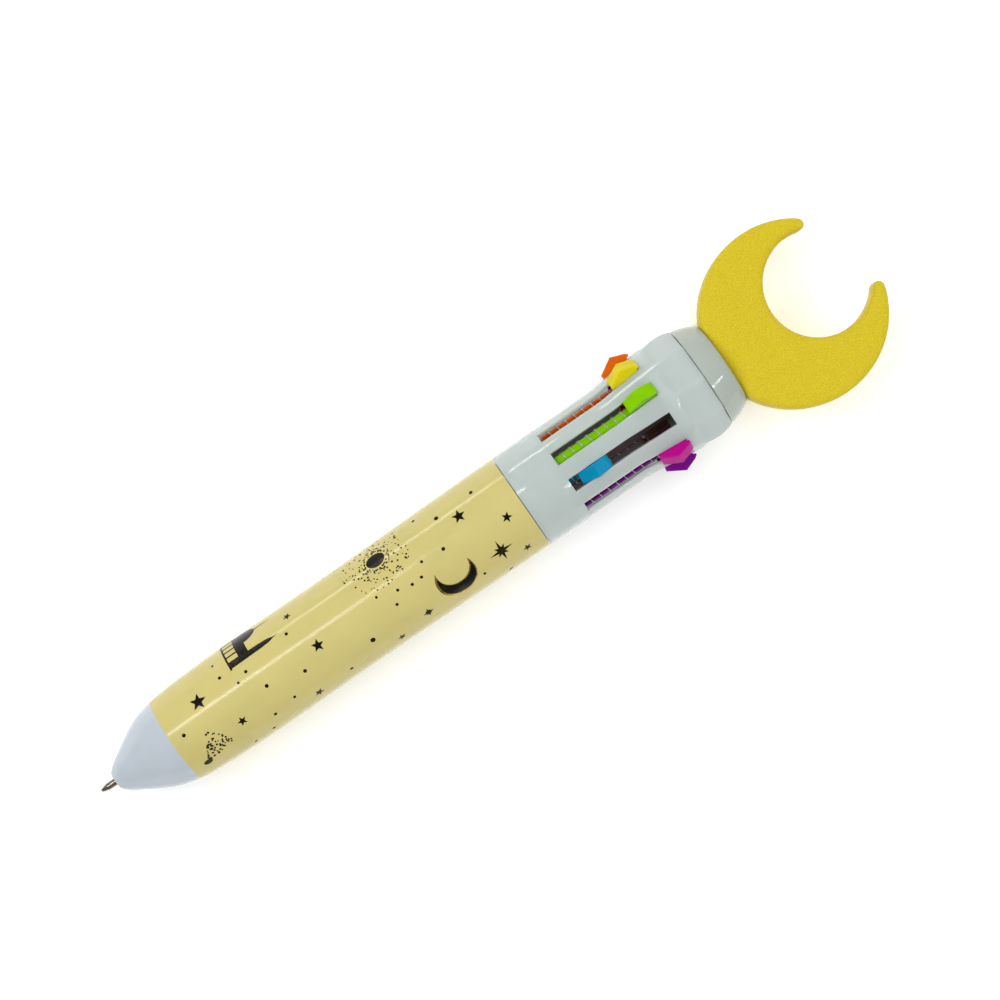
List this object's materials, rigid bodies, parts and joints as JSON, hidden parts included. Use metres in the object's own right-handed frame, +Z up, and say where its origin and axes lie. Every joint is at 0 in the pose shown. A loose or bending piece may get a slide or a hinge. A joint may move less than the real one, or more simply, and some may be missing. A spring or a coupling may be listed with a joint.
{
  "type": "multicolor click pen",
  "caption": "Click pen with a ring of slotted push buttons, one per ink colour, a printed barrel and a crescent moon topper.",
  "frame": {"origin": "centre of the bounding box, on the plane under the pen as it lies on its side", "axes": "+X along the pen from the writing tip to the moon, +Z up, square to the flat side of the moon"},
  "size_m": [0.1612, 0.033, 0.0231],
  "materials": {
    "white_plastic": "moulded, glossy",
    "cream_film": "glossy film with dark foil print",
    "moon_vinyl": "matte, fine grain",
    "core_plastic": "moulded, taupe",
    "spring_steel": "drawn wire",
    "tip_metal": "turned",
    "blue_plastic": "glossy",
    "blue_ink_tube": "translucent tube full of ink",
    "magenta_plastic": "glossy",
    "magenta_ink_tube": "translucent tube full of ink",
    "purple_plastic": "glossy",
    "purple_ink_tube": "translucent tube full of ink",
    "black_plastic": "glossy",
    "black_ink_tube": "translucent tube full of ink",
    "brown_plastic": "glossy",
    "brown_ink_tube": "translucent tube full of ink",
    "red_plastic": "glossy",
    "red_ink_tube": "translucent tube full of ink",
    "navy_plastic": "glossy",
    "navy_ink_tube": "translucent tube full of ink",
    "orange_plastic": "glossy",
    "orange_ink_tube": "translucent tube full of ink",
    "yellow_plastic": "glossy",
    "yellow_ink_tube": "translucent tube full of ink",
    "green_plastic": "glossy",
    "green_ink_tube": "translucent tube full of ink"
  },
  "bodies": {
    "root": {"lower_barrel": "white_plastic", "printed_sleeve": "cream_film", "upper_barrel": "white_plastic", "guide_core": "core_plastic", "spring_seat": "white_plastic", "topper_collar": "white_plastic", "moon_topper": "moon_vinyl"},
    "slider_blue": {"slider_blue": "blue_plastic"},
    "refill_blue": {"refill_tube_blue": "blue_ink_tube", "refill_tip_blue": "tip_metal"},
    "spring_blue": {"spring_blue": "spring_steel"},
    "slider_magenta": {"slider_magenta": "magenta_plastic", "spring_magenta": "spring_steel"},
    "refill_magenta": {"refill_tube_magenta": "magenta_ink_tube", "refill_tip_magenta": "tip_metal"},
    "slider_purple": {"slider_purple": "purple_plastic", "spring_purple": "spring_steel"},
    "refill_purple": {"refill_tube_purple": "purple_ink_tube", "refill_tip_purple": "tip_metal"},
    "slider_black": {"slider_black": "black_plastic", "spring_black": "spring_steel"},
    "refill_black": {"refill_tube_black": "black_ink_tube", "refill_tip_black": "tip_metal"},
    "slider_brown": {"slider_brown": "brown_plastic", "spring_brown": "spring_steel"},
    "refill_brown": {"refill_tube_brown": "brown_ink_tube", "refill_tip_brown": "tip_metal"},
    "slider_red": {"slider_red": "red_plastic", "spring_red": "spring_steel"},
    "refill_red": {"refill_tube_red": "red_ink_tube", "refill_tip_red": "tip_metal"},
    "slider_navy": {"slider_navy": "navy_plastic", "spring_navy": "spring_steel"},
    "refill_navy": {"refill_tube_navy": "navy_ink_tube", "refill_tip_navy": "tip_metal"},
    "slider_orange": {"slider_orange": "orange_plastic", "spring_orange": "spring_steel"},
    "refill_orange": {"refill_tube_orange": "orange_ink_tube", "refill_tip_orange": "tip_metal"},
    "slider_yellow": {"slider_yellow": "yellow_plastic", "spring_yellow": "spring_steel"},
    "refill_yellow": {"refill_tube_yellow": "yellow_ink_tube", "refill_tip_yellow": "tip_metal"},
    "slider_green": {"slider_green": "green_plastic", "spring_green": "spring_steel"},
    "refill_green": {"refill_tube_green": "green_ink_tube", "refill_tip_green": "tip_metal"}
  },
  "joints": [
    {"name": "release_blue", "type": "slide", "parent": "root", "child": "slider_blue", "axis": [0.9876, -0.0486, 0.1494], "range_m": [0, 0.01337], "deforming": ["spring_blue", "refill_tube_blue", "refill_tip_blue"]},
    {"name": "refill_blue_tilt", "type": "hinge", "parent": "slider_blue", "child": "refill_blue", "pos_m": [-0.00984, -0.00127, 0.01547], "axis": [0, 0.9511, 0.309], "range_deg": [0, 2.36]},
    {"name": "spring_blue_foot", "type": "slide", "parent": "slider_blue", "child": "spring_blue", "axis": [-1, 0, 0], "range_m": [0, 0.01322]},
    {"name": "press_magenta", "type": "slide", "parent": "root", "child": "slider_magenta", "axis": [-0.9876, 0.1271, -0.0923], "range_m": [0, 0.01337], "stiffness_N_per_m": 60, "springref_m": -0.01, "deforming": ["spring_magenta", "refill_tube_magenta", "refill_tip_magenta"]},
    {"name": "refill_magenta_tilt", "type": "hinge", "parent": "slider_magenta", "child": "refill_magenta", "pos_m": [0.00336, -0.00502, 0.01521], "axis": [0, -0.5878, -0.809], "range_deg": [0, 2.36]},
    {"name": "press_purple", "type": "slide", "parent": "root", "child": "slider_purple", "axis": [-0.9876, 0.1571, 0], "range_m": [0, 0.01337], "stiffness_N_per_m": 60, "springref_m": -0.01, "deforming": ["spring_purple", "refill_tube_purple", "refill_tip_purple"]},
    {"name": "refill_purple_tilt", "type": "hinge", "parent": "slider_purple", "child": "refill_purple", "pos_m": [0.00336, -0.0062, 0.01157], "axis": [0, 0, -1], "range_deg": [0, 2.36]},
    {"name": "press_black", "type": "slide", "parent": "root", "child": "slider_black", "axis": [-0.9876, 0.1271, 0.0923], "range_m": [0, 0.01337], "stiffness_N_per_m": 60, "springref_m": -0.01, "deforming": ["spring_black", "refill_tube_black", "refill_tip_black"]},
    {"name": "refill_black_tilt", "type": "hinge", "parent": "slider_black", "child": "refill_black", "pos_m": [0.00336, -0.00502, 0.00792], "axis": [0, 0.5878, -0.809], "range_deg": [0, 2.36]},
    {"name": "press_brown", "type": "slide", "parent": "root", "child": "slider_brown", "axis": [-0.9876, 0.0486, 0.1494], "range_m": [0, 0.01337], "stiffness_N_per_m": 60, "springref_m": -0.01, "deforming": ["spring_brown", "refill_tube_brown", "refill_tip_brown"]},
    {"name": "refill_brown_tilt", "type": "hinge", "parent": "slider_brown", "child": "refill_brown", "pos_m": [0.00336, -0.00192, 0.00567], "axis": [0, 0.9511, -0.309], "range_deg": [0, 2.36]},
    {"name": "press_red", "type": "slide", "parent": "root", "child": "slider_red", "axis": [-0.9876, -0.0486, 0.1494], "range_m": [0, 0.01337], "stiffness_N_per_m": 60, "springref_m": -0.01, "deforming": ["spring_red", "refill_tube_red", "refill_tip_red"]},
    {"name": "refill_red_tilt", "type": "hinge", "parent": "slider_red", "child": "refill_red", "pos_m": [0.00336, 0.00192, 0.00567], "axis": [0, 0.9511, 0.309], "range_deg": [0, 2.36]},
    {"name": "press_navy", "type": "slide", "parent": "root", "child": "slider_navy", "axis": [-0.9876, -0.1271, 0.0923], "range_m": [0, 0.01337], "stiffness_N_per_m": 60, "springref_m": -0.01, "deforming": ["spring_navy", "refill_tube_navy", "refill_tip_navy"]},
    {"name": "refill_navy_tilt", "type": "hinge", "parent": "slider_navy", "child": "refill_navy", "pos_m": [0.00336, 0.00502, 0.00792], "axis": [0, 0.5878, 0.809], "range_deg": [0, 2.36]},
    {"name": "press_orange", "type": "slide", "parent": "root", "child": "slider_orange", "axis": [-0.9876, -0.1571, 0], "range_m": [0, 0.01337], "stiffness_N_per_m": 60, "springref_m": -0.01, "deforming": ["spring_orange", "refill_tube_orange", "refill_tip_orange"]},
    {"name": "refill_orange_tilt", "type": "hinge", "parent": "slider_orange", "child": "refill_orange", "pos_m": [0.00336, 0.0062, 0.01157], "axis": [0, 0, 1], "range_deg": [0, 2.36]},
    {"name": "press_yellow", "type": "slide", "parent": "root", "child": "slider_yellow", "axis": [-0.9876, -0.1271, -0.0923], "range_m": [0, 0.01337], "stiffness_N_per_m": 60, "springref_m": -0.01, "deforming": ["spring_yellow", "refill_tube_yellow", "refill_tip_yellow"]},
    {"name": "refill_yellow_tilt", "type": "hinge", "parent": "slider_yellow", "child": "refill_yellow", "pos_m": [0.00336, 0.00502, 0.01521], "axis": [0, -0.5878, 0.809], "range_deg": [0, 2.36]},
    {"name": "press_green", "type": "slide", "parent": "root", "child": "slider_green", "axis": [-0.9876, -0.0486, -0.1494], "range_m": [0, 0.01337], "stiffness_N_per_m": 60, "springref_m": -0.01, "deforming": ["spring_green", "refill_tube_green", "refill_tip_green"]},
    {"name": "refill_green_tilt", "type": "hinge", "parent": "slider_green", "child": "refill_green", "pos_m": [0.00336, 0.00192, 0.01747], "axis": [0, -0.9511, 0.309], "range_deg": [0, 2.36]}
  ],
  "couplings": [
    {"joint": "refill_blue_tilt", "follows": "release_blue", "rad_per_m": 3.0618},
    {"joint": "spring_blue_foot", "follows": "release_blue", "ratio": 0.98758},
    {"joint": "refill_magenta_tilt", "follows": "press_magenta", "rad_per_m": 3.0618},
    {"joint": "refill_purple_tilt", "follows": "press_purple", "rad_per_m": 3.0618},
    {"joint": "refill_black_tilt", "follows": "press_black", "rad_per_m": 3.0618},
    {"joint": "refill_brown_tilt", "follows": "press_brown", "rad_per_m": 3.0618},
    {"joint": "refill_red_tilt", "follows": "press_red", "rad_per_m": 3.0618},
    {"joint": "refill_navy_tilt", "follows": "press_navy", "rad_per_m": 3.0618},
    {"joint": "refill_orange_tilt", "follows": "press_orange", "rad_per_m": 3.0618},
    {"joint": "refill_yellow_tilt", "follows": "press_yellow", "rad_per_m": 3.0618},
    {"joint": "refill_green_tilt", "follows": "press_green", "rad_per_m": 3.0618}
  ]
}
